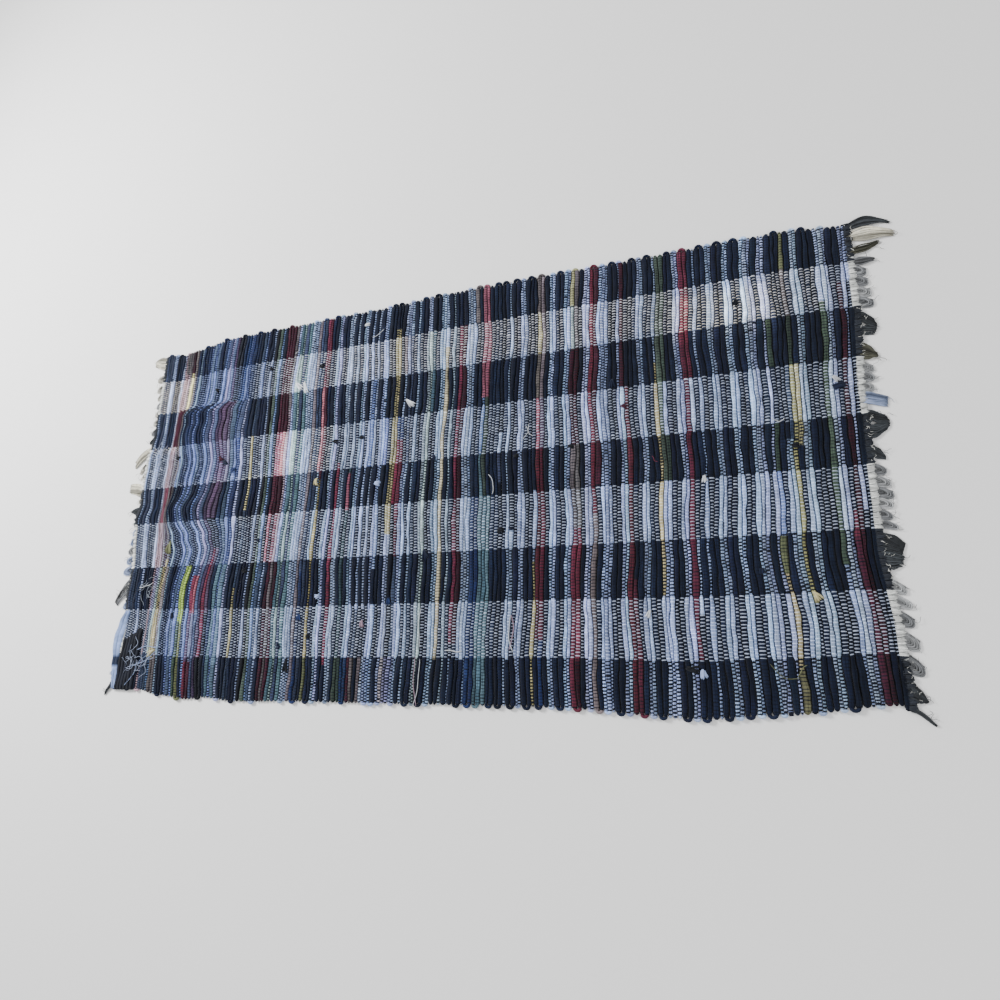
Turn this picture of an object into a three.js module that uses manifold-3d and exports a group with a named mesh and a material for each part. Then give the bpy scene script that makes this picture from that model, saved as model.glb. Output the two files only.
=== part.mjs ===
import * as THREE from "three";
import { mergeVertices } from "three/addons/utils/BufferGeometryUtils.js";
import Module from "manifold-3d";

// Handwoven rag rug lying on a floor. Millimetres, +Z up, floor at Z = 0.
// The warp runs along X and the rag wefts run across it, along Y.
// "along" counts from the left end of the weave and "across" from its far edge to the near
// one, so X = along - MIDDLE.along and Y = MIDDLE.across - across.

// Driving sizes
const LENGTH = 1512;
const CREST = 7;
const VALLEY = 4.4;
const EDGE_CREST = 5.6;
const EDGE_VALLEY = 3.4;
const UNDERSIDE_INSET = 1.6;
const MIDDLE = { along: 772.7, across: 407 };

// Wefts: pale rags are thin shirting, and dark ones are thicker cloth
const RAG_WIDTH = { pale: 6.6, dark: 7.9 };
// A rag swells in warp of its own shade and is squeezed in warp of the other
const SWELL = 0.09;
const PALE_RAGS = "WPLYFC";

// The order of the rags from the left end: a letter for the cloth, then how many wefts of it
const RAG_ORDER = `
  S3 W2 N3 W1 F3 E1 D1 E1 N1 W1 N3 P1 S1 P1 S1 N2 P1 S1 L1 S1 M1 K2 N1 B1 P1 B1 N3 S1 P1 N2 W1
  K1 G1 P1 N1 D3 E1 W1 T1 C1 S1 T1 W3 E1 S2 W1 Y1 N2 W2 N1 R1 W2 N1 T1 N1 W2 N1 W1 N1 W1 N1 W2
  N2 Y2 N1 R1 W2 N1 W1 N2 C2 N2 W2 A1 N1 W1 N1 R1 D1 W3 N2 T3 N4 W1 N2 W2 N2 W1 R2 N1 W2 N2 W2
  D2 N1 W2 R2 W3 N2 W2 R1 N2 W2 N2 Y1 G1 W1 N2 W2 R2 N1 W1 N2 W2 N2 W2 N2 W3 N1 W1 G1 N1 W2 Y1
  N1 W2 N3 G1 W2 N1 D1 W1 N1`;

// Borders of the warp's stripes, from the far edge: dark, light, dark and so on
const WARP_BORDERS = [67, 158, 250, 349, 433, 536, 630, 731];

// Rows of points across the rug: its two edges, the middles of the stripes and two creases
const ROWS = [26, 112, 150, 172, 215, 300, 405, 500, 590, 680, 774];

// Outline of the weave
const FAR_EDGE = [
  { along: 0, across: 2 },
  { along: 60, across: 8 },
  { along: 110, across: 0 },
  { along: 200, across: -14 },
  { along: 600, across: -15 },
  { along: 830, across: -20 },
  { along: 900, across: -18 },
  { along: 1200, across: -14 },
  { along: 1400, across: -13 },
  { along: 1512, across: -2 },
];
const NEAR_EDGE = [
  { along: 0, across: 800 },
  { along: 80, across: 803 },
  { along: 130, across: 812 },
  { along: 215, across: 820 },
  { along: 250, across: 815 },
  { along: 330, across: 821 },
  { along: 500, across: 817 },
  { along: 1000, across: 814 },
  { along: 1240, across: 825 },
  { along: 1350, across: 815 },
  { along: 1500, across: 797 },
  { along: 1512, across: 806 },
];
const LEFT_END = [
  { across: 0, along: 14 },
  { across: 200, along: 14 },
  { across: 240, along: 11 },
  { across: 270, along: 2 },
  { across: 340, along: 0 },
  { across: 390, along: 4 },
  { across: 420, along: -5 },
  { across: 450, along: 0 },
  { across: 540, along: 10 },
  { across: 600, along: 8 },
  { across: 650, along: 14 },
  { across: 720, along: 12 },
  { across: 780, along: 2 },
  { across: 800, along: 0 },
];
const RIGHT_END = [
  { across: 0, along: 8 },
  { across: 160, along: 8 },
  { across: 330, along: 0 },
  { across: 560, along: 0 },
  { across: 700, along: 11 },
  { across: 800, along: 15 },
];

// How far the wefts have slid to the left near the left end, where the rug is rucked
const SLID = [
  { across: 150, along: 0 },
  { across: 180, along: -28 },
  { across: 228, along: -36 },
  { across: 300, along: -20 },
  { across: 345, along: -26 },
  { across: 415, along: -42 },
  { across: 432, along: -42 },
  { across: 470, along: -18 },
  { across: 505, along: -3 },
  { across: 600, along: -16 },
  { across: 650, along: -14 },
  { across: 730, along: -7 },
  { across: 820, along: -4 },
];
const SLID_SPAN = { from: 50, full: 160, fade: 180, end: 320 };
// The left end's own line is lost this far into the weave
const LEFT_END_REACH = 120;
// The right end's slant starts here, and a hand-woven wiggle fades out this close to an end
const SLANT_FROM = 1250;
const WIGGLE_FADE = 150;
// Wiggles of the wefts along the rug, and unevenness of the face: height and wave lengths
const WIGGLES = [
  { height: 2.4, across: 446, along: 898 },
  { height: 1.3, across: 170, along: -383 },
];
const LUMPS = [
  { height: 0.35, across: 521, along: 232 },
  { height: 0.25, across: -333, along: 71 },
];

// Raised creases across the wefts, each a soft ridge on a stretch of the rug's length
const CREASES = [
  { across: 172, from: 80, to: 280, height: 8, width: 30 },
  { across: 405, from: 80, to: 250, height: 7, width: 36 },
];

// A loose rag end that sticks out of the near edge
const RAG_TAIL = { along: 1262, reach: 11.5 };
// The turns of the wefts stand out of both edges by this much
const TURN = 2.2;
// A rag stands this much prouder in warp of its own shade, and this much lower in the other
const PROUD = 0.3;
// The underside has one column of points for so many wefts, and follows a crease less closely
const UNDERSIDE_STEP = 10;
const UNDERSIDE_LIFT = 0.93;

// Fringe: locks of gathered warp ends on a heading strip that is parted from the weave
const HEADING = { gap: 0.4, width: 8, height: 3.4, margin: 5 };
const LOCK_HEIGHT = { root: 3.2, belly: 5.6, tip: 2.2, bellyAt: 0.45 };
const LOCK_STATIONS = 7;
// A lock's top is narrower than its foot by this share of it, and by no more than so much
const LOCK_SLOPE = { share: 0.3, most: 2.5 };

// Each lock's line and its reach past the weave, and its width at root, belly and tip
const LEFT_LOCKS = [
  { root: 26, middle: 22, tip: 18, reach: 47, widths: [34, 32, 20] },
  { root: 64, middle: 66, tip: 70, reach: 28, widths: [17, 18, 13] },
  { root: 88, middle: 90, tip: 94, reach: 24, widths: [18, 18, 13] },
  { root: 112, middle: 114, tip: 117, reach: 18, widths: [17, 18, 13] },
  { root: 134, middle: 136, tip: 138, reach: 17, widths: [16, 17, 13] },
  { root: 156, middle: 158, tip: 161, reach: 18, widths: [17, 18, 13] },
  { root: 179, middle: 181, tip: 184, reach: 19, widths: [17, 18, 13] },
  { root: 202, middle: 204, tip: 207, reach: 20, widths: [17, 17, 13] },
  { root: 224, middle: 226, tip: 231, reach: 19, widths: [16, 15, 10] },
  { root: 248, middle: 261, tip: 284, reach: 45, widths: [20, 24, 18] },
  { root: 282, middle: 292, tip: 306, reach: 24, widths: [18, 14, 8] },
  { root: 310, middle: 316, tip: 322, reach: 16, widths: [16, 12, 6] },
  { root: 352, middle: 344, tip: 341, reach: 49, widths: [16, 30, 24] },
  { root: 374, middle: 376, tip: 379, reach: 15, widths: [14, 12, 7] },
  { root: 402, middle: 399, tip: 399, reach: 34, widths: [28, 17, 4] },
  { root: 428, middle: 430, tip: 433, reach: 13, widths: [16, 14, 8] },
  { root: 449, middle: 451, tip: 455, reach: 13, widths: [16, 16, 13] },
  { root: 470, middle: 473, tip: 478, reach: 17, widths: [17, 17, 14] },
  { root: 491, middle: 494, tip: 499, reach: 23, widths: [18, 18, 15] },
  { root: 513, middle: 516, tip: 520, reach: 28, widths: [18, 18, 15] },
  { root: 536, middle: 540, tip: 544, reach: 33, widths: [20, 20, 15] },
  { root: 567, middle: 584, tip: 611, reach: 44, widths: [34, 31, 13] },
  { root: 612, middle: 618, tip: 624, reach: 18, widths: [18, 13, 7] },
  { root: 642, middle: 644, tip: 648, reach: 18, widths: [20, 20, 16] },
  { root: 665, middle: 667, tip: 671, reach: 18, widths: [20, 20, 16] },
  { root: 688, middle: 690, tip: 694, reach: 19, widths: [20, 20, 16] },
  { root: 711, middle: 713, tip: 717, reach: 18, widths: [20, 20, 16] },
  { root: 734, middle: 736, tip: 740, reach: 16, widths: [20, 20, 16] },
  { root: 757, middle: 759, tip: 763, reach: 14, widths: [20, 19, 15] },
  { root: 784, middle: 795, tip: 811, reach: 22, widths: [20, 10, 4] },
];
const RIGHT_LOCKS = [
  { root: 11, middle: 2, tip: 12, reach: 70, widths: [13, 19, 5] },
  { root: 27, middle: 27, tip: 33, reach: 74, widths: [12, 26, 13] },
  { root: 57, middle: 53, tip: 45, reach: 50, widths: [10, 13, 6] },
  { root: 72, middle: 76, tip: 75, reach: 40, widths: [8, 15, 4] },
  { root: 90, middle: 93, tip: 98, reach: 24, widths: [18, 18, 16] },
  { root: 110, middle: 113, tip: 117, reach: 25, widths: [18, 18, 16] },
  { root: 130, middle: 133, tip: 137, reach: 27, widths: [18, 18, 16] },
  { root: 150, middle: 153, tip: 158, reach: 29, widths: [18, 19, 17] },
  { root: 190, middle: 192, tip: 199, reach: 31, widths: [36, 42, 30] },
  { root: 236, middle: 243, tip: 250, reach: 30, widths: [30, 26, 6] },
  { root: 266, middle: 269, tip: 273, reach: 22, widths: [15, 16, 13] },
  { root: 283, middle: 286, tip: 290, reach: 22, widths: [15, 16, 13] },
  { root: 300, middle: 303, tip: 306, reach: 21, widths: [15, 16, 13] },
  { root: 321, middle: 325, tip: 332, reach: 40, widths: [18, 22, 19] },
  { root: 364, middle: 367, tip: 366, reach: 38, widths: [44, 48, 26] },
  { root: 409, middle: 415, tip: 424, reach: 26, widths: [30, 22, 6] },
  { root: 440, middle: 443, tip: 448, reach: 23, widths: [16, 16, 14] },
  { root: 458, middle: 461, tip: 466, reach: 27, widths: [16, 16, 14] },
  { root: 476, middle: 479, tip: 484, reach: 29, widths: [16, 16, 14] },
  { root: 494, middle: 497, tip: 501, reach: 26, widths: [15, 15, 12] },
  { root: 511, middle: 514, tip: 519, reach: 24, widths: [14, 14, 7] },
  { root: 526, middle: 530, tip: 536, reach: 29, widths: [11, 11, 5] },
  { root: 566, middle: 571, tip: 577, reach: 32, widths: [56, 56, 38] },
  { root: 619, middle: 624, tip: 631, reach: 23, widths: [20, 18, 14] },
  { root: 643, middle: 648, tip: 654, reach: 25, widths: [15, 16, 11] },
  { root: 667, middle: 673, tip: 679, reach: 23, widths: [19, 21, 17] },
  { root: 696, middle: 704, tip: 711, reach: 25, widths: [20, 24, 19] },
  { root: 729, middle: 738, tip: 745, reach: 26, widths: [30, 25, 14] },
  { root: 771, middle: 779, tip: 787, reach: 24, widths: [34, 22, 5] },
  { root: 796, middle: 805, tip: 819, reach: 30, widths: [9, 8, 3] },
];

// Smooth steps and curves

function ease(share) {
  const u = Math.min(Math.max(share, 0), 1);
  return u * u * (3 - 2 * u);
}

// The value of one column of a table at a place in its other column
function follow(table, key, value, place) {
  if (place <= table[0][key]) return table[0][value];
  for (let i = 1; i < table.length; i++) {
    const [low, high] = [table[i - 1], table[i]];
    if (place <= high[key]) {
      const share = ease((place - low[key]) / (high[key] - low[key]));
      return low[value] + (high[value] - low[value]) * share;
    }
  }
  return table[table.length - 1][value];
}

// Wefts and their places

const rags = RAG_ORDER.trim()
  .split(/\s+/)
  .flatMap((run) => Array(Number(run.slice(1))).fill(run[0]));

const isPale = (rag) => PALE_RAGS.includes(rag);

const ragWidths = rags.map((rag) => (isPale(rag) ? RAG_WIDTH.pale : RAG_WIDTH.dark));
const woven = ragWidths.reduce((sum, width) => sum + width, 0);

// Middles of the wefts, spread so that they fill the length
const ragMiddles = [];
let filled = 0;
for (const width of ragWidths) {
  ragMiddles.push(((filled + width / 2) / woven) * LENGTH);
  filled += width;
}

const darkWarpAt = (across) => WARP_BORDERS.filter((border) => border < across).length % 2 === 0;

// The valley between weft i - 1 and weft i, on a row where the warp is dark or light
function valleyAt(i, darkWarp) {
  if (i === 0) return 0;
  if (i === rags.length) return LENGTH;
  const pull = (k) => ragWidths[k] * (isPale(rags[k]) === darkWarp ? 1 - SWELL : 1 + SWELL);
  const share = pull(i - 1) / (pull(i - 1) + pull(i));
  return ragMiddles[i - 1] + (ragMiddles[i] - ragMiddles[i - 1]) * share;
}

function waves(table, along, across) {
  const height = (wave) =>
    wave.height * Math.sin(2 * Math.PI * (across / wave.across + along / wave.along));
  return table.reduce((sum, wave) => sum + height(wave), 0);
}

// How far the weave is shifted along by its uneven ends, its ruck and the hand of the weaver
function shiftAt(along, across) {
  const { from, full, fade, end } = SLID_SPAN;
  const left = follow(LEFT_END, "across", "along", across) * (1 - ease(along / LEFT_END_REACH));
  const slid =
    follow(SLID, "across", "along", across) *
    ease((along - from) / (full - from)) *
    (1 - ease((along - fade) / (end - fade)));
  const slant = ease((along - SLANT_FROM) / (LENGTH - SLANT_FROM));
  const right = follow(RIGHT_END, "across", "along", across) * slant;
  const inside = ease(along / WIGGLE_FADE) * ease((LENGTH - along) / WIGGLE_FADE);
  return left + slid + right + waves(WIGGLES, along, across) * inside;
}

function liftAt(along, across) {
  let lift = 0;
  for (const { across: line, from, to, height, width } of CREASES) {
    const reach = (to - from) / 3;
    const ends = ease((along - from) / reach) * ease((to - along) / reach);
    const off = (across - line) / width;
    lift += height * ends * ease(1 - Math.abs(off));
  }
  return lift;
}

// The woven body as one solid: a ribbed top face, and an underside with few faces

function bodyGeometry() {
  const columns = 2 * rags.length + 1;
  const rows = ROWS.length + 2;
  const points = [];
  const faces = [];
  const put = (along, across, z) => {
    points.push(along - MIDDLE.along, MIDDLE.across - across, z);
    return points.length / 3 - 1;
  };
  const face = (a, b, c) => faces.push(a, b, c);

  // Even columns are valleys and odd ones are crests
  const alongOf = (column, darkWarp) => {
    const weft = (column - 1) / 2;
    if (column % 2 === 0) return valleyAt(column / 2, darkWarp);
    return (valleyAt(weft, darkWarp) + valleyAt(weft + 1, darkWarp)) / 2;
  };
  const acrossOf = (along, row, column) => {
    if (row > 0 && row < rows - 1) return ROWS[row - 1];
    const outwards = row === 0 ? -1 : 1;
    const edge = follow(row === 0 ? FAR_EDGE : NEAR_EDGE, "along", "across", along);
    let turn = column % 2 === 0 ? -TURN / 2 : TURN / 2;
    if (row > 0 && column === tailColumn) turn = RAG_TAIL.reach;
    return edge + outwards * turn;
  };
  const tailColumn = 2 * ragMiddles.findIndex((middle) => middle > RAG_TAIL.along) + 1;

  const top = [];
  for (let row = 0; row < rows; row++) {
    top.push([]);
    const atEdge = row === 0 || row === rows - 1;
    for (let column = 0; column < columns; column++) {
      const level = atEdge ? 0 : ROWS[row - 1];
      const darkWarp = atEdge || darkWarpAt(level);
      const flat = alongOf(column, darkWarp);
      const across = acrossOf(flat, row, column);
      const crest = atEdge ? EDGE_CREST : CREST;
      const valley = atEdge ? EDGE_VALLEY : VALLEY;
      const ownShade = column % 2 === 1 && isPale(rags[(column - 1) / 2]) !== darkWarp;
      const rise = column % 2 === 0 ? valley : crest + (ownShade ? PROUD : -PROUD);
      const z = rise + waves(LUMPS, flat, across) + liftAt(flat, across);
      top[row].push(put(flat + shiftAt(flat, across), across, z));
    }
  }

  // Underside: a valley column every few wefts, on the same rows
  const step = 2 * UNDERSIDE_STEP;
  const under = [];
  const stops = [];
  for (let column = 0; column < columns - step / 2; column += step) stops.push(column);
  stops.push(columns - 1);
  for (let row = 0; row < rows; row++) {
    under.push([]);
    for (const column of stops) {
      const atEdge = row === 0 || row === rows - 1;
      const flat = alongOf(column, atEdge || darkWarpAt(ROWS[row - 1]));
      let across = acrossOf(flat, row, column);
      if (row === 0) across += UNDERSIDE_INSET;
      if (row === rows - 1) across -= UNDERSIDE_INSET;
      let along = flat + shiftAt(flat, across);
      if (column === 0) along += UNDERSIDE_INSET;
      if (column === columns - 1) along -= UNDERSIDE_INSET;
      under[row].push(put(along, across, UNDERSIDE_LIFT * liftAt(flat, across)));
    }
  }

  for (let row = 0; row < rows - 1; row++) {
    for (let column = 0; column < columns - 1; column++) {
      const [a, b] = [top[row][column], top[row][column + 1]];
      const [c, d] = [top[row + 1][column], top[row + 1][column + 1]];
      face(a, c, b);
      face(b, c, d);
    }
    for (let stop = 0; stop < stops.length - 1; stop++) {
      const [a, b] = [under[row][stop], under[row][stop + 1]];
      const [c, d] = [under[row + 1][stop], under[row + 1][stop + 1]];
      face(a, b, c);
      face(b, d, c);
    }
    const last = stops.length - 1;
    const [topLeft, topLeftNext] = [top[row][0], top[row + 1][0]];
    face(topLeft, under[row][0], topLeftNext);
    face(topLeftNext, under[row][0], under[row + 1][0]);
    const [topRight, topRightNext] = [top[row][columns - 1], top[row + 1][columns - 1]];
    face(topRight, topRightNext, under[row][last]);
    face(topRightNext, under[row + 1][last], under[row][last]);
  }

  // The long edges: fans from the many points above to the few below
  for (const row of [0, rows - 1]) {
    const turned = row === 0 ? face : (a, b, c) => face(a, c, b);
    for (let stop = 0; stop < stops.length - 1; stop++) {
      const [from, to] = [stops[stop], stops[stop + 1]];
      const middle = (from + to) >> 1;
      const [low, lowNext] = [under[row][stop], under[row][stop + 1]];
      for (let column = from; column < to; column++) {
        turned(top[row][column], top[row][column + 1], column < middle ? low : lowNext);
        if (column + 1 === middle) turned(top[row][middle], lowNext, low);
      }
    }
  }

  const geometry = new THREE.BufferGeometry();
  geometry.setAttribute("position", new THREE.Float32BufferAttribute(points, 3));
  geometry.setIndex(faces);
  geometry.computeVertexNormals();
  return geometry;
}

// Fringe

const wasm = await Module();
wasm.setup();

function solidOf(geometry) {
  const bare = geometry.clone();
  bare.deleteAttribute("normal");
  bare.deleteAttribute("uv");
  const merged = mergeVertices(bare, 1e-4);
  return new wasm.Manifold(
    new wasm.Mesh({
      numProp: 3,
      vertProperties: new Float32Array(merged.attributes.position.array),
      triVerts: new Uint32Array(merged.index.array),
    }),
  );
}

function geometryOf(solid) {
  const mesh = solid.getMesh();
  const geometry = new THREE.BufferGeometry();
  geometry.setAttribute("position", new THREE.Float32BufferAttribute(mesh.vertProperties, 3));
  geometry.setIndex(Array.from(mesh.triVerts));
  geometry.computeVertexNormals();
  return geometry;
}

// The places across where a fringe and its end of the weave bend, left (side -1) or right (1)
function endPlaces(side) {
  const along = side < 0 ? 0 : LENGTH;
  const first = follow(FAR_EDGE, "along", "across", along) + HEADING.margin;
  const last = follow(NEAR_EDGE, "along", "across", along) - HEADING.margin;
  return [first, ...ROWS, last];
}

// The end of the weave, which runs straight from row to row
function endOfWeave(side, across) {
  const places = endPlaces(side);
  const flat = side < 0 ? 0 : LENGTH;
  const next = Math.max(1, places.findIndex((place) => place >= across));
  const [low, high] = [places[next - 1], places[next]];
  const share = (across - low) / (high - low);
  return flat + shiftAt(flat, low) * (1 - share) + shiftAt(flat, high) * share;
}

// The heading strip beside the weave's end, following its line
function headingGeometry(side) {
  const places = endPlaces(side);
  const line = (out) =>
    places.map((across) => new THREE.Vector2(
      endOfWeave(side, across) + side * out - MIDDLE.along,
      MIDDLE.across - across,
    ));
  const shape = new THREE.Shape([...line(HEADING.gap), ...line(HEADING.gap + HEADING.width).reverse()]);
  return new THREE.ExtrudeGeometry(shape, { depth: HEADING.height, bevelEnabled: false });
}

// The value at a share of the way through three values, eased on both sides of the middle one
function through([first, middle, last], share, middleAt) {
  if (share < middleAt) return first + (middle - first) * ease(share / middleAt);
  return middle + (last - middle) * ease((share - middleAt) / (1 - middleAt));
}

// A curve through three values, evenly spaced
function curve(first, middle, last, u) {
  return first * (1 - u) * (1 - 2 * u) + middle * 4 * u * (1 - u) + last * u * (2 * u - 1);
}

// One lock: a flat four-sided tuft that swells to its belly, leans aside and thins to its tip.
// It lies on the floor along its whole length.
function lockGeometry(side, { root, middle, tip, reach, widths }) {
  const start = HEADING.gap + HEADING.width / 2;
  const along = endOfWeave(side, root) + side * start;
  const heights = [LOCK_HEIGHT.root, LOCK_HEIGHT.belly, LOCK_HEIGHT.tip];
  const points = [];
  for (let station = 0; station < LOCK_STATIONS; station++) {
    const u = station / (LOCK_STATIONS - 1);
    const width = through(widths, u, LOCK_HEIGHT.bellyAt);
    const height = through(heights, u, LOCK_HEIGHT.bellyAt);
    const x = along + side * (reach - start) * u - MIDDLE.along;
    const y = MIDDLE.across - curve(root, middle, tip, u);
    const foot = (side * width) / 2;
    const crown = foot - side * Math.min(LOCK_SLOPE.share * Math.abs(foot), LOCK_SLOPE.most);
    points.push(x, y - foot, 0, x, y + foot, 0, x, y + crown, height, x, y - crown, height);
  }
  const faces = [0, 2, 1, 0, 3, 2];
  for (let station = 0; station < LOCK_STATIONS - 1; station++) {
    const start = 4 * station;
    for (let corner = 0; corner < 4; corner++) {
      const next = (corner + 1) % 4;
      faces.push(start + corner, start + next, start + 4 + next);
      faces.push(start + corner, start + 4 + next, start + 4 + corner);
    }
  }
  const end = 4 * (LOCK_STATIONS - 1);
  faces.push(end, end + 1, end + 2, end, end + 2, end + 3);
  const geometry = new THREE.BufferGeometry();
  geometry.setAttribute("position", new THREE.Float32BufferAttribute(points, 3));
  geometry.setIndex(faces);
  return geometry;
}

function fringeGeometry(side) {
  let solid = solidOf(headingGeometry(side));
  for (const lock of side < 0 ? LEFT_LOCKS : RIGHT_LOCKS) {
    solid = solid.add(solidOf(lockGeometry(side, lock)));
  }
  return geometryOf(solid);
}

// The rug

const weaveCloth = new THREE.MeshStandardMaterial({ color: 0x59637a, roughness: 0.95 });
const fringeCotton = new THREE.MeshStandardMaterial({ color: 0x8b9099, roughness: 0.95 });

function piece(name, geometry, material) {
  const mesh = new THREE.Mesh(geometry, material);
  mesh.name = name;
  return mesh;
}

const rug = new THREE.Group();
rug.add(piece("rug_body", bodyGeometry(), weaveCloth));
rug.add(piece("fringe_left", fringeGeometry(-1), fringeCotton));
rug.add(piece("fringe_right", fringeGeometry(1), fringeCotton));

export default rug;
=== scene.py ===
"""A handwoven rag rug lying on a floor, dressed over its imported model.

Sizes are in millimetres until a mesh is made, and then in metres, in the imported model's frame.
"along" counts from the left end of the weave and "across" from its far edge to the near one.
"""

import math
import re
from types import SimpleNamespace

import bpy
import numpy as np
from mathutils import Matrix, Vector


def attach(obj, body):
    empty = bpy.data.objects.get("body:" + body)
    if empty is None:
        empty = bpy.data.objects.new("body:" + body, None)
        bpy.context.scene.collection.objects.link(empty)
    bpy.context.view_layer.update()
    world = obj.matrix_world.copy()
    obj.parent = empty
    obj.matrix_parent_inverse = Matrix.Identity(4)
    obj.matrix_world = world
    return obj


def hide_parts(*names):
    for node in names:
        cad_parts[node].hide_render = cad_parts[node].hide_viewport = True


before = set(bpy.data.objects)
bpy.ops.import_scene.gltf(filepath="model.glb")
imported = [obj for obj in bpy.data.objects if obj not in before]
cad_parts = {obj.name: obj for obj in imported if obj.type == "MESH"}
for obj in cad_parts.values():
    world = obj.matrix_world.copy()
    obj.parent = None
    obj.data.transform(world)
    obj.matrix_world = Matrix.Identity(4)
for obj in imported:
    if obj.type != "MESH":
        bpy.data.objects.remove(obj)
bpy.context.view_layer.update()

MM = 0.001
dice = np.random.RandomState(8)

# Sizes of the weave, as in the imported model
LENGTH = 1512
MIDDLE_ALONG, MIDDLE_ACROSS = 772.7, 407.0
RAG_WIDTH = {"pale": 6.6, "dark": 7.9}
# How much wider a pale or dark rag spreads in light or dark warp
SWELL = {"pale_light": 0.06, "pale_dark": -0.38, "dark_light": -0.06, "dark_dark": 0.32}
PALE_RAGS = "WPLYFCZ"
RAG_ORDER = """
  S3 W2 N3 W1 F3 E1 D1 E1 N1 W1 N3 P1 S1 P1 S1 N2 P1 S1 L1 S1 M1 K2 N1 B1 P1 B1 N3 S1 P1 N2 W1
  K1 G1 P1 N1 D3 E1 W1 T1 C1 S1 T1 W3 E1 S2 W1 Y1 N2 W2 N1 R1 W2 N1 T1 N1 W2 N1 W1 N1 W1 N1 W2
  N2 Y2 N1 R1 W2 N1 W1 N2 C2 N2 W2 A1 N1 W1 N1 R1 D1 W3 N2 T3 N4 W1 N2 W2 N2 W1 R2 N1 W2 N2 W2
  D2 N1 W2 R2 W3 N2 W2 R1 N2 W2 N2 Y1 G1 W1 N2 W2 R2 N1 W1 N2 W2 N2 W2 N2 W3 N1 W1 G1 N1 W2 Y1
  N1 W2 N3 G1 W2 N1 D1 W1 N1"""
WARP_BORDERS = [67, 158, 250, 349, 433, 536, 630, 731]
WARPS = 298

# Outline: pairs of along and across for the long edges, and of across and along for the ends
FAR_EDGE = [(0, 2), (60, 8), (110, 0), (200, -14), (600, -15), (830, -20), (900, -18), (1200, -14),
            (1400, -13), (1512, -2)]
NEAR_EDGE = [(0, 800), (80, 803), (130, 812), (215, 820), (250, 815), (330, 821), (500, 817),
             (1000, 814), (1240, 825), (1350, 815), (1500, 797), (1512, 806)]
FAR_LEVEL, NEAR_LEVEL = -15, 817
LEFT_END = [(0, 14), (200, 14), (240, 11), (270, 2), (340, 0), (390, 4), (420, -5), (450, 0),
            (540, 10), (600, 8), (650, 14), (720, 12), (780, 2), (800, 0)]
RIGHT_END = [(0, 8), (160, 8), (330, 0), (560, 0), (700, 11), (800, 15)]

# Where the wefts have slid to the left, by place across, and the creases they lie in
SLID = [(150, 0), (180, -28), (228, -36), (300, -20), (345, -26), (415, -42), (432, -42),
        (470, -18), (505, -3), (600, -16), (650, -14), (730, -7), (820, -4)]
SLID_FROM, SLID_FULL, SLID_FADE, SLID_END = 50, 160, 180, 320
LEFT_END_REACH = 120
SLANT_FROM = 1250
WIGGLE_FADE = 150
CREASES = [
    {"across": 172, "from": 80, "to": 280, "height": 8, "width": 30},
    {"across": 405, "from": 80, "to": 250, "height": 7, "width": 36},
]
# Height and wave lengths across and along
WIGGLES = [(2.4, 446, 898), (1.3, 170, -383)]
LUMPS = [(0.35, 521, 232), (0.25, -333, 71)]

# Cloths of the rags, in sRGB out of 255
CLOTHS = {
    "N": (17, 25, 46), "K": (16, 19, 27), "S": (52, 62, 86), "B": (34, 48, 88), "G": (60, 74, 66),
    "O": (98, 102, 74), "W": (150, 168, 208), "P": (112, 134, 188), "L": (138, 138, 178),
    "R": (96, 40, 58), "D": (62, 27, 42), "M": (66, 52, 74), "F": (156, 132, 148),
    "H": (132, 78, 96), "Y": (178, 170, 128), "A": (170, 164, 130), "E": (94, 88, 92),
    "T": (70, 92, 106), "C": (152, 174, 178), "V": (148, 170, 88), "Q": (170, 104, 114),
    "Z": (204, 208, 214),
}
WARP_DARK, WARP_LIGHT = (12, 16, 28), (166, 176, 196)


def rows_of(columns, text):
    """The rows of a table written as text, with commas or lines between them."""
    rows = []
    for row in re.split(r"[,\n]", text):
        cells = [float(word) if word[-1].isdigit() else word for word in row.split()]
        if cells:
            rows.append(SimpleNamespace(**dict(zip(columns.split(), cells))))
    return rows


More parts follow.
